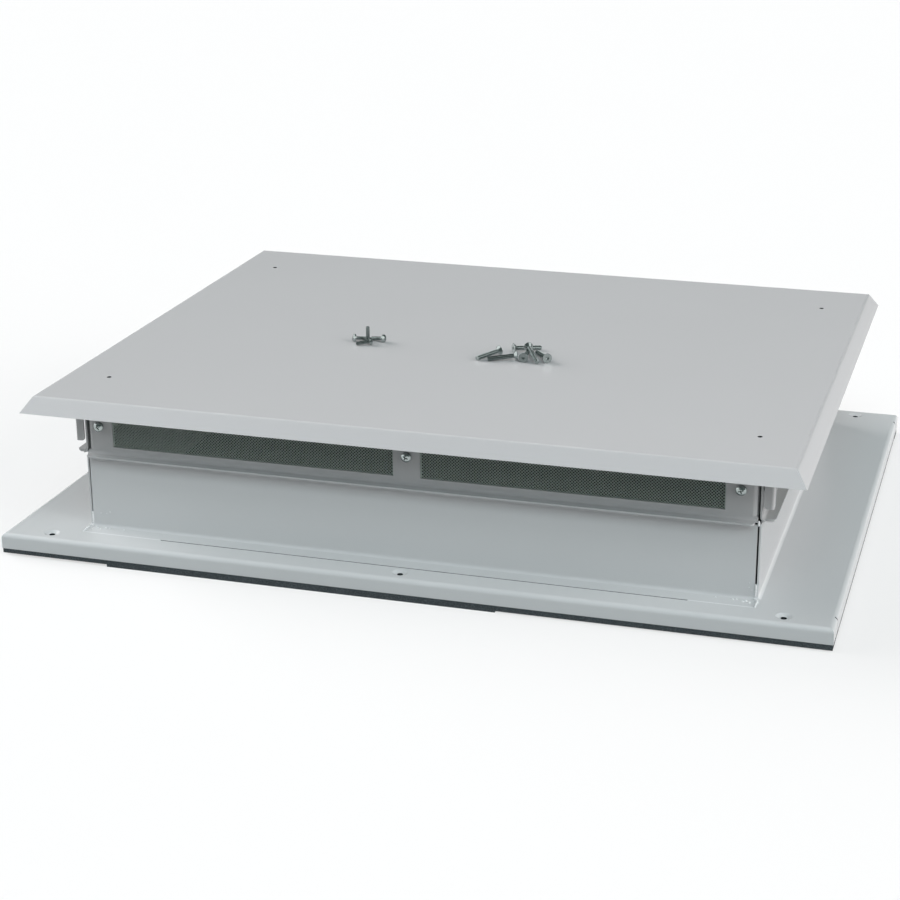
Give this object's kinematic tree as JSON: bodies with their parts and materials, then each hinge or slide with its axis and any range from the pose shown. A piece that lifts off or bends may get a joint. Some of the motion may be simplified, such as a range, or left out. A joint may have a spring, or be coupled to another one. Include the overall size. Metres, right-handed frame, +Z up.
{
  "type": "vented enclosure roof plate",
  "caption": "Sheet-metal roof plate for a floor-standing enclosure: flanged base on foam, low duct with perforated vents all round, and a loose hood cover.",
  "frame": {"origin": "middle of the footprint, at the underside of the thick foam strips", "axes": "+X to the right seen from the front, +Y to the rear, +Z up through the cover"},
  "size_m": [0.8, 0.6, 0.1797],
  "materials": {
    "base_plate": "light grey semi-gloss powder coat on folded sheet steel",
    "duct_front": "light grey semi-gloss powder coat on folded sheet steel",
    "duct_rear": "light grey semi-gloss powder coat on folded sheet steel",
    "duct_left": "light grey semi-gloss powder coat on folded sheet steel",
    "duct_right": "light grey semi-gloss powder coat on folded sheet steel",
    "vent_frame_front": "light grey semi-gloss powder coat on folded sheet steel",
    "vent_frame_rear": "light grey semi-gloss powder coat on folded sheet steel",
    "vent_frame_left": "light grey semi-gloss powder coat on folded sheet steel",
    "vent_frame_right": "light grey semi-gloss powder coat on folded sheet steel",
    "cover": "light grey semi-gloss powder coat on folded sheet steel",
    "cover_lug_front_left": "light grey semi-gloss powder coat on folded sheet steel",
    "cover_lug_front_right": "light grey semi-gloss powder coat on folded sheet steel",
    "cover_lug_rear_left": "light grey semi-gloss powder coat on folded sheet steel",
    "cover_lug_rear_right": "light grey semi-gloss powder coat on folded sheet steel",
    "gasket_front_left": "soft black foam, fine open texture",
    "gasket_front_middle": "soft black foam, fine open texture",
    "gasket_front_right": "soft black foam, fine open texture",
    "gasket_rear": "soft black foam, fine open texture",
    "gasket_left": "soft black foam, fine open texture",
    "gasket_right": "soft black foam, fine open texture",
    "side_seam_beads": "weld bead under the same powder coat",
    "foot_welds": "weld bead under the same powder coat",
    "corner_welds": "weld bead under the same powder coat",
    "ledge_welds": "weld bead under the same powder coat",
    "vent_insert_front": "thin perforated sheet, dark and satin",
    "insert_screws_front": "bright zinc plating",
    "insert_nuts_front": "bright zinc plating",
    "vent_insert_rear": "thin perforated sheet, dark and satin",
    "insert_screws_rear": "bright zinc plating",
    "insert_nuts_rear": "bright zinc plating",
    "vent_insert_left": "thin perforated sheet, dark and satin",
    "insert_screws_left": "bright zinc plating",
    "insert_nuts_left": "bright zinc plating",
    "vent_insert_right": "thin perforated sheet, dark and satin",
    "insert_screws_right": "bright zinc plating",
    "insert_nuts_right": "bright zinc plating",
    "cover_nuts": "bright zinc plating",
    "cover_screws": "bright zinc plating",
    "mounting_screws": "bright zinc plating"
  },
  "bodies": {
    "base": {"base_plate": "base_plate", "duct_front": "duct_front", "duct_rear": "duct_rear", "duct_left": "duct_left", "duct_right": "duct_right", "vent_frame_front": "vent_frame_front", "vent_frame_rear": "vent_frame_rear", "vent_frame_left": "vent_frame_left", "vent_frame_right": "vent_frame_right", "gasket_front_left": "gasket_front_left", "gasket_front_middle": "gasket_front_middle", "gasket_front_right": "gasket_front_right", "gasket_rear": "gasket_rear", "gasket_left": "gasket_left", "gasket_right": "gasket_right", "side_seam_beads": "side_seam_beads", "foot_welds": "foot_welds", "corner_welds": "corner_welds", "ledge_welds": "ledge_welds", "vent_insert_front": "vent_insert_front", "insert_screws_front": "insert_screws_front", "insert_nuts_front": "insert_nuts_front", "vent_insert_rear": "vent_insert_rear", "insert_screws_rear": "insert_screws_rear", "insert_nuts_rear": "insert_nuts_rear", "vent_insert_left": "vent_insert_left", "insert_screws_left": "insert_screws_left", "insert_nuts_left": "insert_nuts_left", "vent_insert_right": "vent_insert_right", "insert_screws_right": "insert_screws_right", "insert_nuts_right": "insert_nuts_right", "cover_nuts": "cover_nuts"},
    "cover": {"cover": "cover", "cover_lug_front_left": "cover_lug_front_left", "cover_lug_front_right": "cover_lug_front_right", "cover_lug_rear_left": "cover_lug_rear_left", "cover_lug_rear_right": "cover_lug_rear_right", "cover_screws": "cover_screws", "mounting_screws": "mounting_screws"}
  },
  "joints": [
    {"name": "cover_lift", "type": "slide", "parent": "base", "child": "cover", "axis": [0, 0, 1], "range_m": [0, 0.12]}
  ]
}
